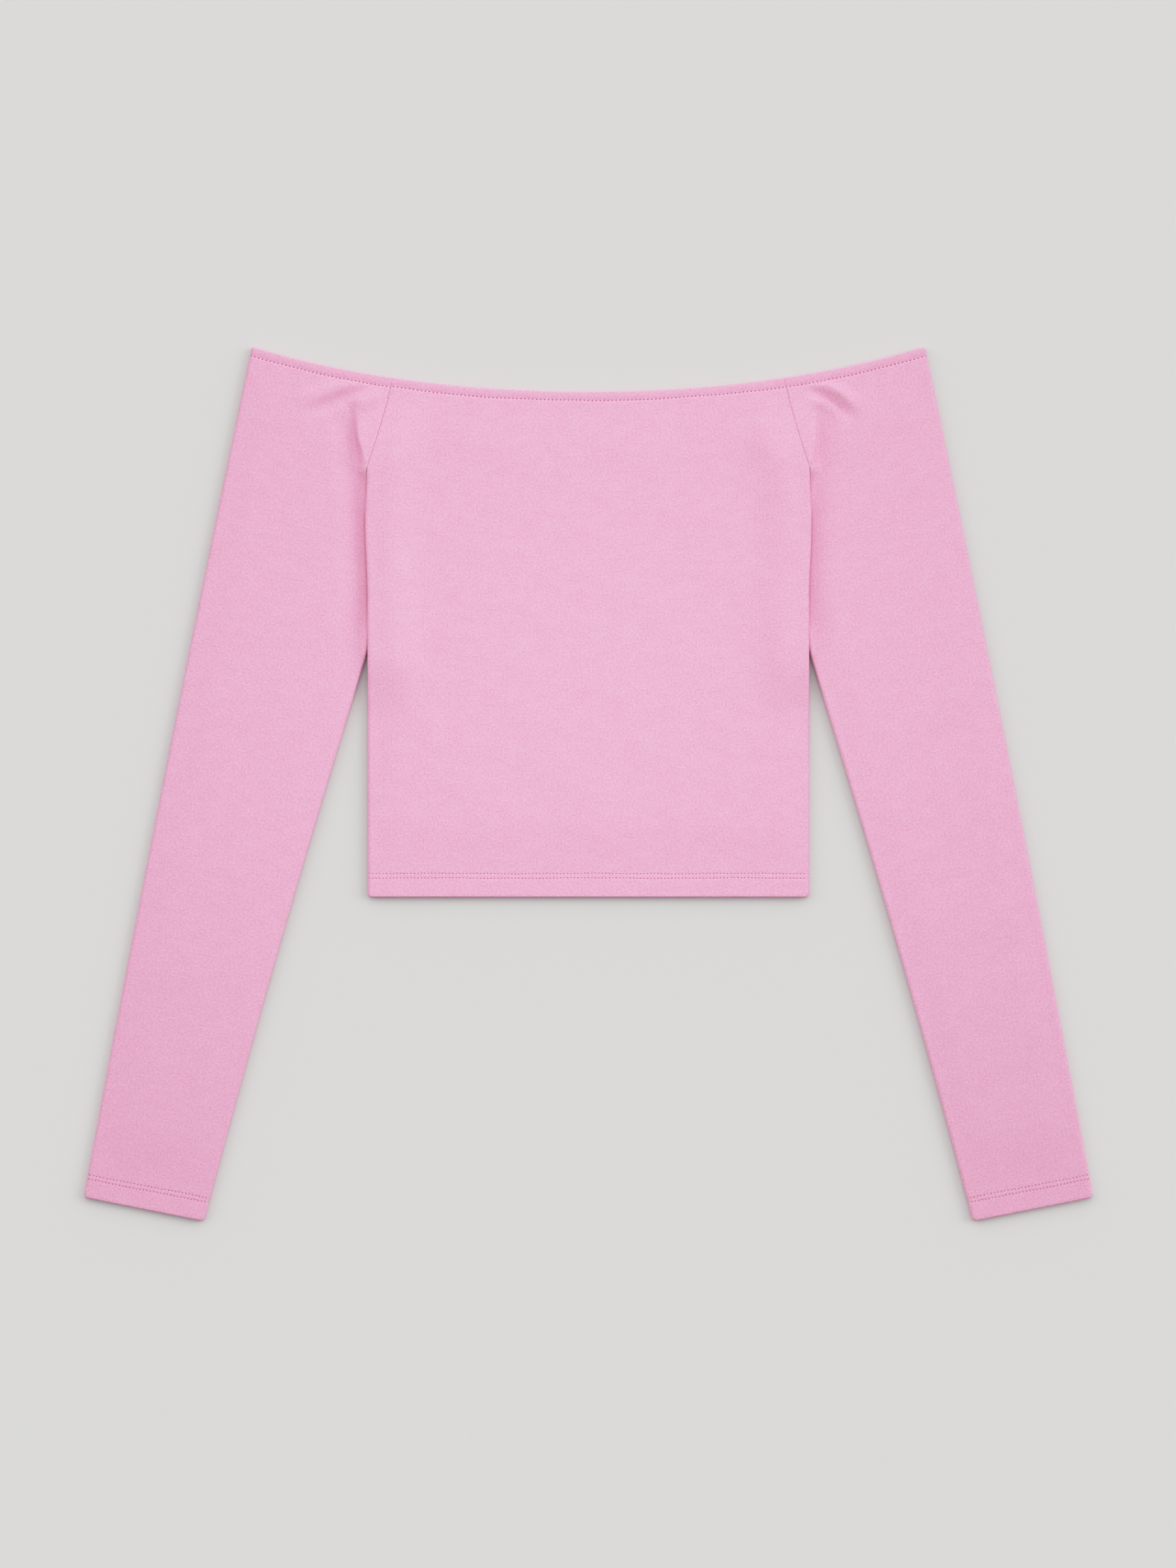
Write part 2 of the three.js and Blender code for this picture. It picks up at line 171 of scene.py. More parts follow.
# Stitching: twin-needle rows at hem and cuffs, one row at the neckline
HEM_LINES = (16.5, 13.3)
CUFF_LINES = (16.0, 13.0)
NECK_LINES = (6.3,)
HEM_PITCH = 2.45
NECK_PITCH = 2.8
SEAM_PITCH = 1.9
HEM_GROOVE = 0.05        # depth to which a row of stitches pulls the cloth in
NECK_GROOVE = 0.5
NECK_LEAN = 0.45         # the neckline's groove is this much nearer its edge than the needle holes
GROOVE_REACH = 1.1
PIT = 1.0                # further depth where the needle went in
PIT_REACH = 0.34
DEEPEST = 1.1
COLUMNS_A_STITCH = 8
HEM_THREAD_RADIUS = 0.26
NECK_THREAD_RADIUS = 0.36
SEAM_THREAD_RADIUS = 0.15
BEND = 0.85              # length of the thread that shows in a needle hole
HEM_BEND_DEPTH = 0.22    # how far its middle lies below the cloth's face
NECK_BEND_DEPTH = 0.02
BEND_DROP = 0.35         # and its ends below its middle
WANDER = 0.3             # how far a row strays from its line
WANDER_LONG = 17
WANDER_SHORT = 6.3
WANDER_SHARE = 0.375     # share of the short wave

SEAM_THREAD_HALF = 0.42  # half width that a thread across the armhole seam spans
SEAM_THREAD_SLANT = 0.25
SEAM_THREAD_DEPTH = 0.32
SEAM_THREAD_BOW = 0.16
SEAM_ROLL = 0.3          # how far the sewn edge rolls in at the armhole
SEAM_ROLL_REACH = 0.8

# How fine the meshes are: rows along the body's side, columns across, sides round a thread
FIELD_ROW = 3
TUCK_TOP_ZONE = 4
TUCK_TOP_ROWS = 14
HEAD_ROWS = 34
ROW_REACH = 0.9          # finer rows on either side of a row of stitches
BODY_EDGE_COLUMNS = (0, 0.15, 0.3, 0.5, 0.75, 1.0, 1.3, 1.7, 2.3, 3.2, 4.5)
SIDE_COLUMN = (2.0, 2.2)
SIDE_WIDTH = 52
CENTRE_COLUMNS = 38
SLEEVE_SEAM_COLUMNS = (0, 0.15, 0.3, 0.5, 0.75, 1.0, 1.4)
SLEEVE_COLUMNS = (9, 10, 34, 9)    # up to the crease, across it, beyond it, round the outer fold
THREAD_SIDES = 6

# Patterns of the knit and the thread
MOTTLE_WIDTH = 12.5
MOTTLE_HEIGHT = 7.7
TUFT = 1.316
WALE = 3.158
TWIST = 0.385            # pitch of the thread's twist

FLOOR_HALF = 8000        # reaches past the picture from low views too
FLOOR_LEVEL = -0.1
STEP = 0.05              # for slopes of a surface


def smooth(low, high, value):
    t = np.clip((value - low) / (high - low), 0, 1)
    return t * t * (3 - 2 * t)


def mix(a, b, t):
    return a + (b - a) * t


def neckline_y(x):
    t = np.abs(x) / NECK_HALF_WIDTH
    return NECK_Y + NECK_RISE * (NECK_ROUND * t**2 + (1 - NECK_ROUND) * t**4)


SEAM_TOP_Y = float(neckline_y(SEAM_TOP_X))
CHORD_RISE = float(neckline_y(NECK_HALF_WIDTH)) - SEAM_TOP_Y    # from seam to outer fold


def side_x(y):
    t = np.clip((y - SIDE_SWELL_Y) / SIDE_SWELL_REACH, -1, 1)
    return BODY_HALF_WIDTH + SIDE_SWELL * np.cos(t * math.pi / 2) ** 2


def armhole_x(y):
    t = np.clip((SEAM_TOP_Y - y) / (SEAM_TOP_Y - UNDERARM_Y), 0, 1)
    return mix(SEAM_TOP_X, side_x(UNDERARM_Y), t**SEAM_CURVE)


def panel_edge_x(y):
    return np.where(y < UNDERARM_Y, side_x(y), armhole_x(y))


def outer_x(y):
    top = neckline_y(NECK_HALF_WIDTH)
    t = (top - y) / (top - CUFF_OUTER[1])
    return mix(NECK_HALF_WIDTH, CUFF_OUTER[0], t) + OUTER_BOW * 4 * t * (1 - t)


def inner_x(y):
    """The sleeve's inner edge: armhole seam, then tucked in under the body, then free to the cuff."""
    t = np.clip((y - NOTCH[1]) / (TUCK_TOP_Y - NOTCH[1]), 0, 1)
    clear = mix(NOTCH[0] - BODY_HALF_WIDTH, SEAM_GAP + TUCK_CLEARANCE, t)
    tucked = side_x(y) + clear - TUCK_DEPTH * 4 * t * (1 - t)
    t = np.clip((NOTCH[1] - y) / (NOTCH[1] - CUFF_INNER[1]), 0, 1.1)
    free = mix(NOTCH[0], CUFF_INNER[0], t) + INNER_BOW * 4 * t * (1 - t)
    return np.where(y >= UNDERARM_Y, armhole_x(y) + SEAM_GAP, np.where(y > NOTCH[1], tucked, free))


def outer_y(y):
    at_cuff = CUFF_OUTER[1] - CUFF_INNER[1]
    return y + mix(at_cuff, CHORD_RISE, (y - CUFF_INNER[1]) / (SEAM_TOP_Y - CUFF_INNER[1]))


def lift_along(y):
    rising = smooth(LIFT_LOW_Y, NOTCH[1] - TUCK_MARGIN, y)
    return LIFT * rising * (1 - smooth(UNDERARM_Y, SEAM_TOP_Y, y))


def body_lift(x, y):
    inward = panel_edge_x(y) - np.abs(x)
    level = TUCK_DEPTH + TUCK_MARGIN
    return lift_along(y) * (1 - smooth(level, level + LIFT_RAMP, inward))


def half_wall(distance, depth):
    start = depth - TURN_MARGIN
    return mix(TURNED, CLOTH, smooth(start, start + TURN_STEP, distance)) / 2


def corner_cut(distance):
    d = np.clip(distance, 0, CORNER)
    return CORNER - np.sqrt(CORNER**2 - (CORNER - d) ** 2)


def curl_share(y, lower=0):
    """The side and underarm seams curl fully below the tuck's top and lie flat at the underarm."""
    curled, flat = CURL_FADE
    return 1 - smooth(UNDERARM_Y - curled - lower, UNDERARM_Y - flat - lower, y)


def curl(a, half, share):
    """Distance in from the edge, and drop towards the other layer, at a distance a along the cloth."""
    radius = (STACK - SEAM_GAP_SHOWN) / 2 - half
    length = radius * math.pi / 2
    turn = np.maximum(share, LEAST_TURN) * math.pi / 2
    start = mix(length, radius + half, share)
    angle = turn * np.clip(1 - a / length, 0, 1)
    away = start - length / turn * np.sin(angle) + np.maximum(a - length, 0)
    return away, length / turn * (1 - np.cos(angle))


def curl_size(half, share):
    """Length of cloth in the curl, and how far in from the edge it ends."""
    radius = (STACK - SEAM_GAP_SHOWN) / 2 - half
    return radius * math.pi / 2, mix(radius * math.pi / 2, radius + half, share)


def undulation(x, y, seed):
    """The faint unevenness of cloth that has been smoothed out by hand."""
    draw = np.random.default_rng(seed)
    height = 0
    for _ in range(WAVES):
        angle, phase = draw.uniform(0, 2 * math.pi, 2)
        wave = draw.uniform(*WAVE_LENGTHS)
        along = x * math.cos(angle) + y * math.sin(angle)
        height = height + np.sin(along * 2 * math.pi / wave + phase)
    return UNEVENNESS * height / WAVES


def fold_height(x, y, folds):
    height = 0
    for path, rise, reach in folds:
        path = np.array(path, float)
        near = np.full(np.shape(x), 1e9)
        along = np.zeros(np.shape(x))
        for k in range(len(path) - 1):
            a, b = path[k], path[k + 1]
            t = ((x - a[0]) * (b - a)[0] + (y - a[1]) * (b - a)[1]) / ((b - a) ** 2).sum()
            t = np.clip(t, 0, 1)
            distance = np.hypot(x - mix(a[0], b[0], t), y - mix(a[1], b[1], t))
            along = np.where(distance < near, (k + t) / (len(path) - 1), along)
            near = np.minimum(distance, near)
        ends = np.minimum(1, FOLD_FADE * np.sin(along * math.pi))
        height = height + rise * ends * (1 - smooth(0, reach, near))
    return height


class Body:
    """Front or back panel. t runs from -1 to 1 across, y is the height of the row's side end."""

    top_y = SEAM_TOP_Y
    low_y = HEM_Y
    low_depth = HEM_DEPTH
    low_lines = HEM_LINES

    def __init__(self, is_front):
        self.is_front = is_front
        self.facing = 1 if is_front else -1

    def half(self, y):
        return np.maximum(half_wall(y - HEM_Y, HEM_DEPTH), half_wall(SEAM_TOP_Y - y, NECK_DEPTH))

    def edge(self, y):
        shown = (SEAM_GAP - SEAM_GAP_SHOWN) / 2 * (1 - curl_share(y))
        return panel_edge_x(y) + shown - corner_cut(y - HEM_Y)

    def length(self, y):
        """From the centre to the seam end along the cloth."""
        length, start = curl_size(self.half(y), curl_share(y))
        return self.edge(y) + length - start

    def from_seam(self, t, y):
        return (1 - np.abs(t)) * self.length(y)

    def along(self, t, y):
        return t * self.length(y)

    def point(self, t, y):
        half = self.half(y)
        away, down = curl(self.from_seam(t, y), half, curl_share(y))
        edge = self.edge(y)
        x = np.sign(t) * (edge - away)
        share = (y - HEM_Y) / (neckline_y(edge) - HEM_Y)
        across_y = y + (neckline_y(x) - neckline_y(edge)) * share**2
        lift = body_lift(x, y)
        if not self.is_front:
            return np.stack([x, across_y, lift + half + down], -1)
        free = (smooth(HEM_DEPTH, CROWN_FROM_HEM, y - HEM_Y)
                * smooth(NECK_DEPTH, CROWN_FROM_NECK, SEAM_TOP_Y - y)
                * smooth(SEAM_FLAT, SEAM_FLAT + CROWN_MARGIN, edge - np.abs(x)))
        crown = (CROWN + undulation(x, y, 3)) * free
        return np.stack([x, across_y, lift + STACK - half + crown - down], -1)

    def columns(self, y):
        """Places across a row, from one seam to the other, close together where the cloth curls."""
        length = float(self.length(y))
        start = BODY_EDGE_COLUMNS[-1] + SIDE_COLUMN[0]
        side = np.concatenate([BODY_EDGE_COLUMNS, np.arange(start, SIDE_WIDTH, SIDE_COLUMN[1])])
        centre = np.linspace(SIDE_WIDTH - length, length - SIDE_WIDTH, CENTRE_COLUMNS)
        return np.concatenate([side - length, centre, (length - side)[::-1]]) / length


class Sleeve:
    """A sleeve. t runs from 0 at the seam over the front, round the outer fold and back under to 1."""

    top_y = SEAM_TOP_Y
    low_y = CUFF_INNER[1]
    low_depth = CUFF_DEPTH
    low_lines = CUFF_LINES

    def __init__(self, side):
        self.side = side
        self.sign = 1 if side == "left" else -1
        self.facing = self.sign

    def half(self, y):
        return np.maximum(half_wall(y - self.low_y, CUFF_DEPTH), half_wall(SEAM_TOP_Y - y, NECK_DEPTH))

    def ends(self, y):
        """The row's two ends in plan."""
        inner = np.stack([inner_x(y), y + 0 * inner_x(y)], -1)
        outer = np.stack([outer_x(outer_y(y)), outer_y(y)], -1)
        along = (outer - inner) / np.linalg.norm(outer - inner, axis=-1, keepdims=True)
        cut = np.asarray(corner_cut(y - self.low_y))[..., None]
        shown = np.asarray((SEAM_GAP - SEAM_GAP_SHOWN) / 2 * (1 - curl_share(y, HIDDEN_CURL)))[..., None]
        return inner + along * (cut - shown), outer - along * cut

    def sizes(self, y):
        """Length of the front layer and of the outer fold, the fold's radius, and the row's width."""
        inner, outer = self.ends(y)
        width = np.linalg.norm(outer - inner, axis=-1)
        half = self.half(y)
        length, start = curl_size(half, curl_share(y, HIDDEN_CURL))
        radius = STACK / 2 - half
        front = width - radius - half - start + length
        return front, math.pi * radius, radius, width

    def length(self, y):
        front, fold, _, _ = self.sizes(y)
        return 2 * front + fold

    def from_seam(self, t, y):
        return np.minimum(t, 1 - t) * self.length(y)

    def along(self, t, y):
        return t * self.length(y)

    def point(self, t, y):
        half = self.half(y)
        front, fold, radius, width = self.sizes(y)
        q = t * self.length(y)
        on_back = q > front + fold
        along = np.minimum(np.where(on_back, self.length(y) - q, q), front)
        away, down = curl(along, half, curl_share(y, HIDDEN_CURL))
        angle = math.pi / 2 - np.clip((q - front) / radius, 0, math.pi)
        on_fold = (q > front) & ~on_back
        fold_start = width - radius - half
        away = np.where(on_fold, fold_start + radius * np.cos(angle), away)
        layer = np.where(on_fold, (np.sin(angle) + 1) / 2, np.where(on_back, 0.0, 1.0))
        inner, outer = self.ends(y)
        share = away / width
        x = mix(inner[..., 0], outer[..., 0], share)
        neck_x = mix(SEAM_TOP_X, NECK_HALF_WIDTH, share)
        bow = neckline_y(neck_x) - SEAM_TOP_Y - CHORD_RISE * share
        across_y = mix(inner[..., 1], outer[..., 1], share) + bow * smooth(UNDERARM_Y, SEAM_TOP_Y, y)
        dropping = LIFT * smooth(TUCK_TOP_Y - HIDDEN_CURL, UNDERARM_Y, y)
        seam_lift = np.where(y < UNDERARM_Y, dropping, lift_along(y))
        crease, drop = self.crease(y)
        lift = seam_lift * (1 - smooth(crease, crease + drop, away))
        from_cuff, from_neck = y - self.low_y, SEAM_TOP_Y - y
        free = (smooth(crease, crease + CROWN_MARGIN, away) * smooth(0, CROWN_MARGIN, fold_start - away)
                * smooth(CUFF_DEPTH, CROWN_FROM_CUFF, from_cuff)
                * smooth(NECK_DEPTH, CROWN_FROM_NECK, from_neck))
        crown = (CROWN + undulation(x, across_y, 8 + self.sign)) * free
        field = crease + drop
        pressed = (PRESSED[self.side]
                   * smooth(crease, field, away) * (1 - smooth(field, field + PRESSED_REACH, away))
                   * smooth(*PRESSED_LOW_Y, y) * (1 - smooth(*PRESSED_HIGH_Y, y)))
        # The front layer never comes nearer to the back one than the least gap
        least = LEAST_GAP + 4 * half - STACK
        raised = (np.maximum(least, fold_height(x, across_y, FOLDS[self.side]) + crown - pressed)
                  * smooth(NECK_DEPTH, NECK_DEPTH + FOLD_FROM_NECK, from_neck)
                  * smooth(0, FOLD_FROM_SEAM, away - SEAM_FLAT))
        bottom = lift + half + down
        top = lift + STACK - half - down + np.where(layer == 1, raised, 0)
        return np.stack([self.sign * x, across_y, mix(bottom, top, layer)], -1)

    def crease(self, y):
        first = 1 if self.side == "left" else 2
        return (np.interp(y, CREASES[:, 0], CREASES[:, first]),
                np.interp(y, CREASES[:, 0], CREASES[:, first + 2]))

    def columns(self, y):
        front, fold, _, _ = (float(v) for v in self.sizes(y))
        total = 2 * front + fold
        length, start = (float(v) for v in curl_size(self.half(y), curl_share(y, HIDDEN_CURL)))
        crease, drop = (float(v) + length - start for v in self.crease(y))
        drop += crease - (length - start)
        before, across, beyond, round_fold = SLEEVE_COLUMNS
        layer = np.concatenate([
            SLEEVE_SEAM_COLUMNS,
            np.linspace(SLEEVE_SEAM_COLUMNS[-1], crease, before)[1:],
            np.linspace(crease, drop, across)[1:],
            np.linspace(drop, front, beyond)[1:],
        ])
        turn = np.linspace(front, front + fold, round_fold)[1:-1]
        return np.concatenate([layer, turn, (total - layer)[::-1]]) / total


def wander(u, line):
    """How far a row of stitches strays from its line, in a long and a short wave."""
    long_wave = np.sin(u / WANDER_LONG + line * 2)
    short_wave = np.sin(u / WANDER_SHORT + line * 5)
    return WANDER * mix(long_wave, short_wave, WANDER_SHARE)


def sewn_in(sheet, t, y):
    """Depth to which the stitching pulls the cloth in at a point."""
    depth = 0
    u = sheet.along(t, y)
    for lines, from_edge, pitch, groove, lean in (
        (sheet.low_lines, y - sheet.low_y, HEM_PITCH, HEM_GROOVE, 0),
        (NECK_LINES, sheet.top_y - y, NECK_PITCH, NECK_GROOVE, NECK_LEAN),
    ):
        for line in lines:
            off = from_edge - line - wander(u, line)
            near_hole = u - np.round(u / pitch) * pitch
            depth = depth + groove * np.exp(-(((off + lean) / GROOVE_REACH) ** 2))
            depth = depth + PIT * np.exp(-(off**2 + near_hole**2) / PIT_REACH**2)
    rolled = SEAM_ROLL * (1 - smooth(0, SEAM_ROLL_REACH, sheet.from_seam(t, y))) * (1 - curl_share(y))
    return depth + rolled


def surface(sheet, t, y):
    """Middle of the solid's wall, and the way out of it, at points of a sheet."""
    dt = STEP / sheet.length(y)
    place = sheet.point(t, y)
    across = sheet.point(t + dt, y) - sheet.point(t - dt, y)
    up = sheet.point(t, y + STEP) - sheet.point(t, y - STEP)
    out = np.cross(across, up) * sheet.facing
    return place, out / np.linalg.norm(out, axis=-1, keepdims=True)


def edge_rows(depth, lines, pitch):
    """Rows from a turned edge's raw end, round its fold and up past its stitching.

    Each is (distance from the edge, share of the wall that it lies out at, stitch pitch or None).
    """
    reach = (TURNED - JERSEY) / 2
    rows = [(d, -1, None) for d in np.linspace(depth + RAW_EDGE, TURNED / 2, max(4, int(depth / 2)))]
    for angle in np.linspace(math.pi, 0, 8)[1:]:
        rows.append((TURNED / 2 - reach * math.sin(angle), math.cos(angle), None))
    low, high = min(lines) - ROW_REACH, max(lines) + ROW_REACH
    rows += [(d, 1, None) for d in np.linspace(TURNED / 2, low - 0.5, max(3, int((low - 1) / 1.2)))[1:]]
    for line in sorted(lines):
        rows += [(d, 1, pitch) for d in np.linspace(line - ROW_REACH, line + ROW_REACH, 9)]
        rows += [(line + 1.3, 1, pitch)] if line < max(lines) else []
    rows += [(high + d, 1, None) for d in (0.5, 1.3, 2.3)]
    return rows


def sheet_rows(sheet):
    low = edge_rows(sheet.low_depth, sheet.low_lines, HEM_PITCH)
    neck = edge_rows(NECK_DEPTH, NECK_LINES, NECK_PITCH)
    first = sheet.low_y + low[-1][0]
    last = sheet.top_y - neck[-1][0]
    field = np.concatenate([
        np.linspace(first, TUCK_TOP_Y - TUCK_TOP_ZONE, int((TUCK_TOP_Y - first) / FIELD_ROW)),
        np.linspace(TUCK_TOP_Y - TUCK_TOP_ZONE, UNDERARM_Y, TUCK_TOP_ROWS)[1:],
        np.linspace(UNDERARM_Y, last, HEAD_ROWS)[1:],
    ])[1:-1]
    rows = [(sheet.low_y + d, out, pitch) for d, out, pitch in low]
    rows += [(y, 1, None) for y in field]
    rows += [(sheet.top_y - d, out, pitch) for d, out, pitch in reversed(neck)]
    return rows


def row_places(sheet, y, pitch):
    places = sheet.columns(y)
    if pitch is None:
        return places
    length = float(sheet.length(y))
    low = places[0] * length
    high = places[-1] * length
    step = pitch / COLUMNS_A_STITCH
    fine = np.arange(math.ceil(low / step), math.floor(high / step) + 1) * step
    seam = places[np.minimum(np.abs(places - places[0]), np.abs(places - places[-1])) * length < 1.2]
    fine = fine[(fine > low + 1.3) & (fine < high - 1.3)] / length
    return np.unique(np.concatenate([seam, fine]))


def zipped(low, high, low_at, high_at):
    """Faces between two rows of vertices, which may hold different numbers of them."""
    if len(low) == len(high):
        return [(low[i], low[i + 1], high[i + 1], high[i]) for i in range(len(low) - 1)]
    faces = []
    i = j = 0
    while i < len(low) - 1 or j < len(high) - 1:
        if j == len(high) - 1 or (i < len(low) - 1 and low_at[i + 1] <= high_at[j + 1]):
            faces.append((low[i], low[i + 1], high[j]))
            i += 1
        else:
            faces.append((low[i], high[j + 1], high[j]))
            j += 1
    return faces


def mesh_object(name, points, faces, material):
    mesh = bpy.data.meshes.new(name)
    mesh.from_pydata((np.asarray(points) * MM).tolist(), [], faces)
    mesh.materials.append(material)
    mesh.polygons.foreach_set("use_smooth", [True] * len(mesh.polygons))
    piece = bpy.data.objects.new(name, mesh)
    bpy.context.scene.collection.objects.link(piece)
    return piece


def cloth_piece(name, sheet, material):
    """One cut piece of jersey: its turned edges, their folds and its face, as one sheet."""
    points, grain, faces = [], [], []
    count = 0
    before = None
    for y, out, pitch in sheet_rows(sheet):
        t = row_places(sheet, y, pitch)
        y_all = np.full(len(t), float(y))
        place, normal = surface(sheet, t, y_all)
        reach = (sheet.half(y_all) - JERSEY / 2)[:, None]
        # Only the outer layer is pulled in: the turned layer behind it lies flat
        sewn = np.minimum(sewn_in(sheet, t, y_all), DEEPEST)[:, None] * (out > 0)
        points.append(place + normal * out * (reach - sewn))
        grain.append(np.stack([sheet.along(t, y_all), y_all + 0 * t], -1))
        numbers = np.arange(count, count + len(t))
        count += len(t)
        if before is not None:
            faces += zipped(before[0].tolist(), numbers.tolist(), before[1], t)
        before = (numbers, t)
    if sheet.facing < 0:
        faces = [face[::-1] for face in faces]
    piece = mesh_object(name, np.concatenate(points), faces, material)
    grain = np.concatenate(grain) * MM
    corner = np.empty(len(piece.data.loops), np.int32)
    piece.data.loops.foreach_get("vertex_index", corner)
    piece.data.uv_layers.new(name="grain").uv.foreach_set("vector", grain[corner].ravel())
    wall = piece.modifiers.new("jersey", "SOLIDIFY")
    wall.thickness = JERSEY * MM
    wall.offset = 0
    return piece


def thread_rings(paths, radius):
    """Closed thin tubes, one for each path; paths is an array of (piece, point, xyz)."""
    along = np.gradient(paths, axis=1)
    along /= np.linalg.norm(along, axis=-1, keepdims=True)
    up = paths[:, paths.shape[1] // 2] - (paths[:, 0] + paths[:, -1]) / 2
    side = np.cross(along, up[:, None] / np.linalg.norm(up, axis=-1)[:, None, None])
    side /= np.linalg.norm(side, axis=-1, keepdims=True)
    over = np.cross(side, along)
    sides = THREAD_SIDES
    angle = np.arange(sides) * 2 * math.pi / sides
    ring = (side[:, :, None] * np.cos(angle)[:, None] + over[:, :, None] * np.sin(angle)[:, None])
    points = paths[:, :, None] + ring * radius
    number, rings = paths.shape[:2]
    faces = []
    for piece in range(number):
        base = piece * rings * sides
        for r in range(rings - 1):
            for k in range(sides):
                a = base + r * sides + k
                b = base + r * sides + (k + 1) % sides
                faces.append((a, b, b + sides, a + sides))
        faces.append(tuple(base + k for k in reversed(range(sides))))
        faces.append(tuple(base + (rings - 1) * sides + k for k in range(sides)))
    return points.reshape(-1, 3), faces


def stitch_paths(sheet, line, from_top, pitch):
    """The thread of one row of stitches where it shows, a short bend in each needle hole, whose dark
    colour is painted shade of the hole.
    """
    y_line = sheet.top_y - line if from_top else sheet.low_y + line
    length = float(sheet.length(y_line))
    places = sheet.columns(y_line) * length
    holes = np.arange(math.ceil((places[0] + 1) / pitch), math.floor((places[-1] - 1) / pitch) + 1) * pitch
    spots = np.linspace(-1, 1, 7)
    u = holes[:, None] + spots * BEND / 2
    stray = wander(u, line)
    y = y_line - stray if from_top else y_line + stray
    t = u / sheet.length(y)
    place, out = surface(sheet, t, y)
    groove = NECK_GROOVE * math.exp(-((NECK_LEAN / GROOVE_REACH) ** 2)) if from_top else HEM_GROOVE
    depth = groove + (NECK_BEND_DEPTH if from_top else HEM_BEND_DEPTH)
    level = sheet.half(y) - depth - BEND_DROP * spots**2
    return place + out * level[..., None]


def sewing(name, rows, material):
    """One mesh of threads; rows holds the paths and the thread radius of each row of stitches."""
    paths = np.concatenate([row for row, _ in rows])
    radius = np.concatenate([np.full(len(row), radius) for row, radius in rows])
    points, faces = thread_rings(paths, radius[:, None, None, None])
    return mesh_object(name, points, faces, material)


def armhole_paths(sheet, sign, facing):
    """Small threads across the armhole seam."""
    y = np.arange(UNDERARM_Y + 3, SEAM_TOP_Y - NECK_DEPTH, SEAM_PITCH)
    edge = armhole_x(y) + SEAM_GAP / 2
    place, out = surface(sheet, np.full(len(y), float(sign)) * 0.999, y)
    spots = np.linspace(-1, 1, 5)
    across = SEAM_THREAD_HALF * spots
    dip = -SEAM_THREAD_DEPTH - SEAM_THREAD_BOW * spots**2
    paths = np.empty((len(y), 5, 3))
    paths[..., 0] = sign * (edge[:, None] + across)
    paths[..., 1] = place[:, None, 1] + SEAM_THREAD_SLANT * spots
    paths[..., 2] = place[:, None, 2] + facing * (CLOTH / 2 + dip)
    return paths


def linear(code):
    """A colour given as sRGB hex, in linear light."""
    values = [int(code[k:k + 2], 16) / 255 for k in (1, 3, 5)]
    return [v / 12.92 if v <= 0.04045 else ((v + 0.055) / 1.055) ** 2.4 for v in values] + [1.0]


def add_node(tree, kind, links=None, **settings):
    """A node with its settings; links maps its input names or numbers to values or to other sockets."""
    node = tree.nodes.new(kind)
    for name, value in settings.items():
        setattr(node, name, value)
    for key, value in (links or {}).items():
        if isinstance(value, bpy.types.NodeSocket):
            tree.links.new(value, node.inputs[key])
        else:
            node.inputs[key].default_value = value
    return node


def new_material(name):
    material = bpy.data.materials.new(name)
    material.use_nodes = True
    material.node_tree.nodes.clear()
    return material, material.node_tree


def finish_material(tree, shader):
    add_node(tree, "ShaderNodeOutputMaterial", {"Surface": shader.outputs["BSDF"]})


def brushed_jersey():
    """Cotton and elastane jersey, knitted fine and brushed: matte, with a nap that lights its edges."""
    material, tree = new_material("brushed_cotton_jersey")
    grain = add_node(tree, "ShaderNodeUVMap", uv_map="grain").outputs["UV"]
    # Dye and nap vary a little along the courses, over patches wider than high
    patch = (1 / (MOTTLE_WIDTH * MM), 1 / (MOTTLE_HEIGHT * MM), 1)
    courses = add_node(tree, "ShaderNodeMapping", {"Vector": grain, "Scale": patch})
    mottle = add_node(tree, "ShaderNodeTexNoise", {
        "Vector": courses.outputs["Vector"], "Scale": 1.0, "Detail": 4.0, "Roughness": 0.62})
    # Tufts of the nap, drawn as coarse as they need to be to show
    fibres = add_node(tree, "ShaderNodeTexNoise", {
        "Vector": grain, "Scale": 1 / (TUFT * MM), "Detail": 2.0})
    tone = add_node(tree, "ShaderNodeMix", {
        "Factor": 0.8, "A": mottle.outputs["Fac"], "B": fibres.outputs["Fac"]}, data_type="FLOAT")
    colour = add_node(tree, "ShaderNodeValToRGB", {"Fac": tone.outputs["Result"]})
    colour.color_ramp.elements[0].position = 0.32
    colour.color_ramp.elements[0].color = linear("#dfa2bb")
    colour.color_ramp.elements[1].position = 0.68
    colour.color_ramp.elements[1].color = linear("#edb8d0")
    # Wales of the knit under the nap. The real ones, about 0.8 mm apart, are too fine to show, so
    # they are drawn wider. A band of this texture is 2 pi / 20 long at a scale of 1.
    wales = add_node(tree, "ShaderNodeTexWave", {
        "Vector": grain, "Scale": 2 * math.pi / 20 / (WALE * MM), "Distortion": 3.0,
        "Detail": 2.0, "Detail Scale": 2.0}, wave_type="BANDS", bands_direction="X")
    nap = add_node(tree, "ShaderNodeMath", {0: wales.outputs["Fac"], 1: 0.35, 2: fibres.outputs["Fac"]},
                   operation="MULTIPLY_ADD")
    bump = add_node(tree, "ShaderNodeBump", {
        "Height": nap.outputs["Value"], "Strength": 0.35, "Distance": 0.00025})
    shader = add_node(tree, "ShaderNodeBsdfPrincipled", {
        "Base Color": colour.outputs["Color"], "Normal": bump.outputs["Normal"], "Roughness": 0.88,
        "Specular IOR Level": 0.25, "Sheen Weight": 0.18, "Sheen Roughness": 0.45,
        "Sheen Tint": linear("#ffe3f0")})
    finish_material(tree, shader)
    return material


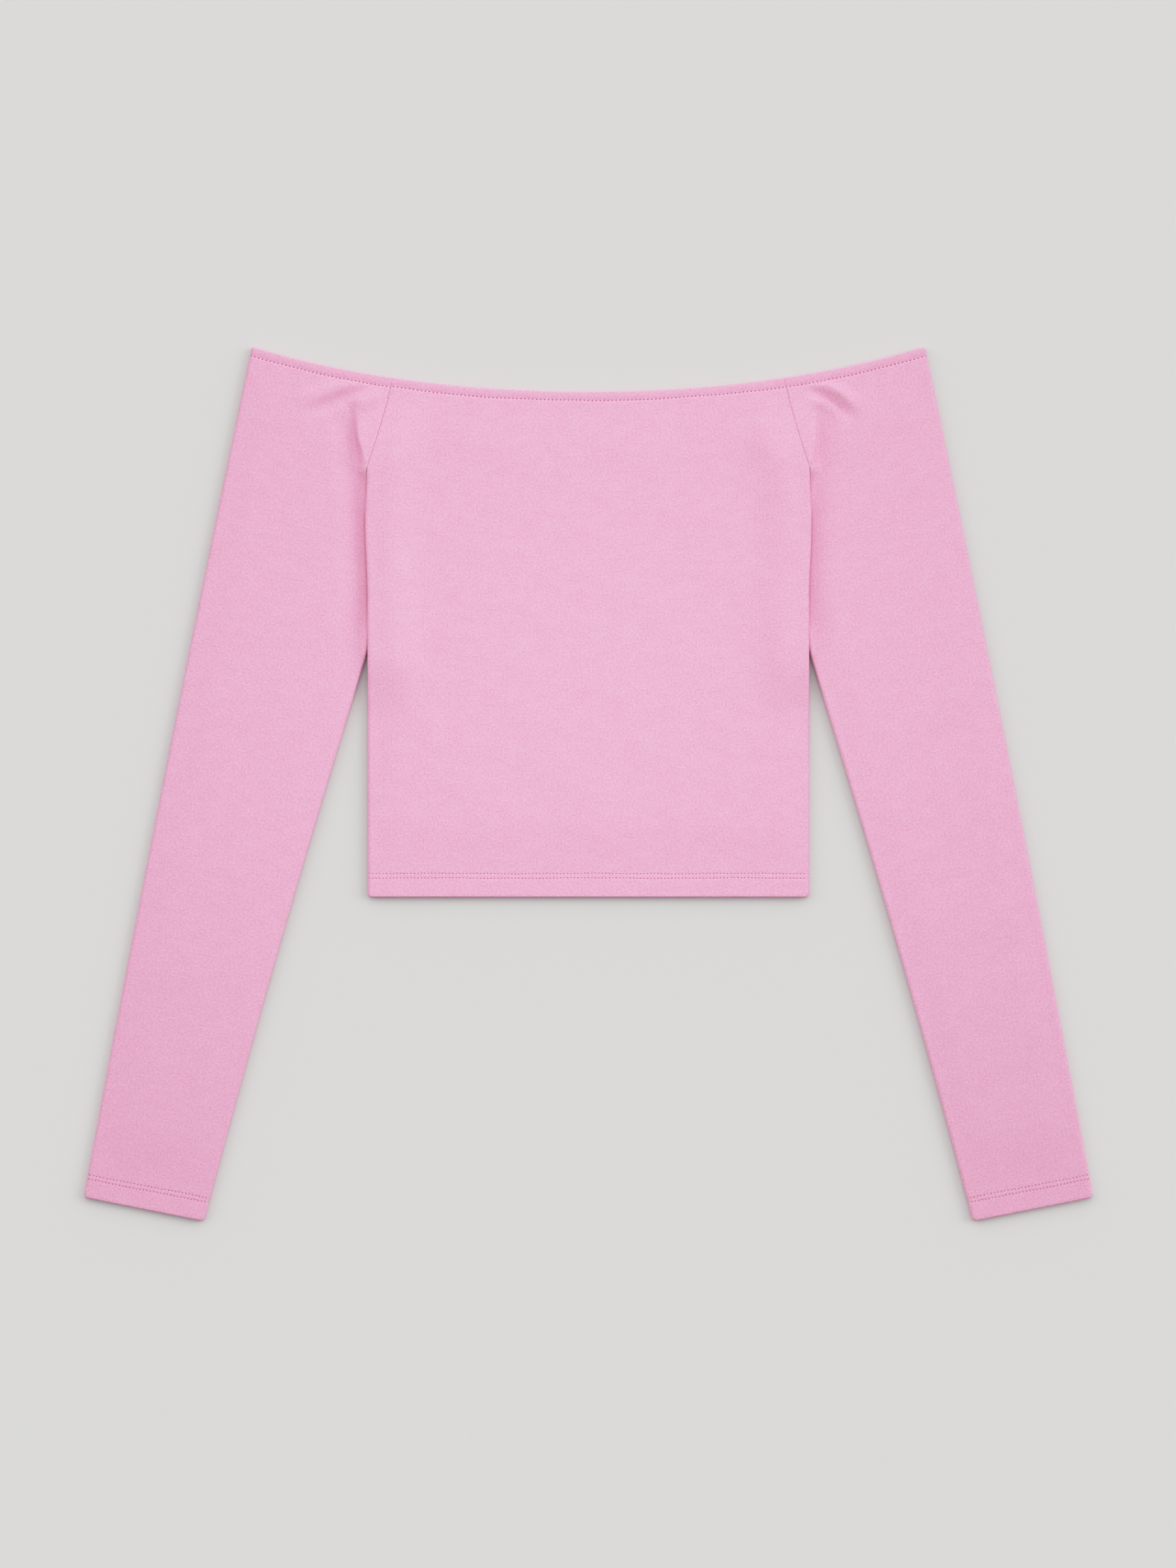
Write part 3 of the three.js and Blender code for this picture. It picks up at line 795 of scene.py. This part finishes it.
def thread_with_painted_hole_shade():
    """Spun polyester sewing thread, pink like the jersey and with a dull lustre; its colour is drawn
    deeper as painted shade, for the dark of the needle holes that it sits in.
    """
    material, tree = new_material("polyester_thread_with_painted_hole_shade")
    twist = add_node(tree, "ShaderNodeTexNoise", {
        "Vector": add_node(tree, "ShaderNodeTexCoord").outputs["Object"],
        "Scale": 1 / (TWIST * MM), "Detail": 1.0})
    # Painted shade: the ramp is darker than the jersey's, so that the thread's bends in the needle holes
    # and across the armhole seam carry the shade of the holes and the seam.
    colour = add_node(tree, "ShaderNodeValToRGB", {"Fac": twist.outputs["Fac"]})
    colour.color_ramp.elements[0].color = linear("#ab5780")
    colour.color_ramp.elements[1].color = linear("#c06f96")
    bump = add_node(tree, "ShaderNodeBump", {
        "Height": twist.outputs["Fac"], "Strength": 0.3, "Distance": 0.0001})
    shader = add_node(tree, "ShaderNodeBsdfPrincipled", {
        "Base Color": colour.outputs["Color"], "Normal": bump.outputs["Normal"], "Roughness": 0.6,
        "Specular IOR Level": 0.4})
    finish_material(tree, shader)
    return material


def pale_board():
    """Matt painted board under the garment: pale, even and without a shine."""
    material, tree = new_material("matt_painted_board")
    shader = add_node(tree, "ShaderNodeBsdfPrincipled", {
        "Base Color": linear("#e5e4e3"), "Roughness": 0.95, "Specular IOR Level": 0.1})
    finish_material(tree, shader)
    return material


def add_camera():
    data = bpy.data.cameras.new("camera")
    data.sensor_width = SENSOR
    data.lens = SENSOR * CAMERA_HEIGHT / (PHOTO_HEIGHT_PX * MM_PER_PX)
    data.clip_end = 20
    camera = bpy.data.objects.new("camera", data)
    offset = (PHOTO_CENTRE_X_PX - GARMENT_CENTRE_X_PX) * MM_PER_PX
    camera.location = (offset * MM, 0, CAMERA_HEIGHT * MM)
    bpy.context.scene.collection.objects.link(camera)
    bpy.context.scene.camera = camera


def add_light():
    scene = bpy.context.scene
    scene.view_settings.view_transform = "Standard"
    scene.view_settings.use_curve_mapping = True
    tones = scene.view_settings.curve_mapping
    tones.white_level = (TONE_WHITE,) * 3
    for light_in, light_out in TONE_CURVE:
        tones.curves[3].points.new(light_in / TONE_WHITE, light_out)
    tones.update()
    world = bpy.data.worlds.new("studio")
    world.use_nodes = True
    tree = world.node_tree
    way = add_node(tree, "ShaderNodeTexCoord").outputs["Generated"]
    lean = add_node(tree, "ShaderNodeVectorMath", {0: way, 1: (0, DOME_TOWARDS_TOP, 0)},
                    operation="DOT_PRODUCT")
    level = add_node(tree, "ShaderNodeMath", {0: lean.outputs["Value"], 1: 1.0}, operation="ADD")
    strength = add_node(tree, "ShaderNodeMath", {0: level.outputs["Value"], 1: DOME_LEVEL},
                        operation="MULTIPLY")
    dome = tree.nodes["Background"]
    dome.inputs["Color"].default_value = (1, 1, 1, 1)
    tree.links.new(strength.outputs["Value"], dome.inputs["Strength"])
    scene.world = world
    for name, (level, width, height, turn) in SOFT_BOXES.items():
        data = bpy.data.lights.new(name, "SUN")
        data.angle = math.radians(width)
        data.energy = level
        box = bpy.data.objects.new(name, data)
        box.rotation_euler = (math.radians(height - 90), 0, -math.radians(turn))
        scene.collection.objects.link(box)
    data = bpy.data.lights.new("lamp", "AREA")
    data.shape = "DISK"
    data.size = LAMP_SIZE * MM
    data.energy = LAMP_POWER
    lamp = bpy.data.objects.new("lamp", data)
    lamp.location = [v * MM for v in LAMP_PLACE]
    scene.collection.objects.link(lamp)
    return lamp


def add_floor():
    turns = ((-1, -1), (1, -1), (1, 1), (-1, 1))
    corners = [(x * FLOOR_HALF, y * FLOOR_HALF, FLOOR_LEVEL) for x, y in turns]
    floor = mesh_object("floor", corners, [(0, 1, 2, 3)], pale_board())


def flat_cut(sheet):
    """Width, length and area of a sheet's cut, with its turned edges, in metres."""
    y = np.linspace(sheet.low_y, sheet.top_y, 200)
    across = sheet.length(y) * (2 if isinstance(sheet, Body) else 1)
    length = sheet.top_y - sheet.low_y + sheet.low_depth + NECK_DEPTH
    rise = 1.0 if isinstance(sheet, Body) else SLEEVE_SLANT
    width = float(across.max())
    area = float(across.mean()) * (y[-1] - y[0]) + across[0] * sheet.low_depth + across[-1] * NECK_DEPTH
    return (width * MM, length * rise * MM), float(area * rise) * MM * MM


add_camera()
lamp = add_light()
add_floor()
jersey = brushed_jersey()
thread = thread_with_painted_hole_shade()

SHEETS = {
    "front_panel": Body(True),
    "back_panel": Body(False),
    "left_sleeve": Sleeve("left"),
    "right_sleeve": Sleeve("right"),
}
PIECE_NAMES = {
    "front_panel": "front_of_jersey",
    "back_panel": "back_of_jersey",
    "left_sleeve": "left_sleeve_of_jersey",
    "right_sleeve": "right_sleeve_of_jersey",
}
pieces = {node: cloth_piece(PIECE_NAMES[node], sheet, jersey) for node, sheet in SHEETS.items()}

sewn = {}
for node, sheet in SHEETS.items():
    rows = [(stitch_paths(sheet, line, False, HEM_PITCH), HEM_THREAD_RADIUS) for line in sheet.low_lines]
    rows += [(stitch_paths(sheet, line, True, NECK_PITCH), NECK_THREAD_RADIUS) for line in NECK_LINES]
    sewn[node] = [sewing(f"stitches_of_{node}", rows, thread)]
for node in ("front_panel", "back_panel"):
    facing = SHEETS[node].facing
    seams = [(armhole_paths(SHEETS[node], sign, facing), SEAM_THREAD_RADIUS) for sign in (1, -1)]
    sewn[node].append(sewing(f"armhole_threads_of_{node}", seams, thread))

for node, piece in pieces.items():
    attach(piece, "root")
    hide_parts(node)
    for threads in sewn[node]:
        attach(threads, "root")
    flat, area = flat_cut(SHEETS[node])

garment = bpy.data.collections.new("garment")
for piece in [*pieces.values(), *(t for threads in sewn.values() for t in threads)]:
    garment.objects.link(piece)
lamp.light_linking.receiver_collection = garment
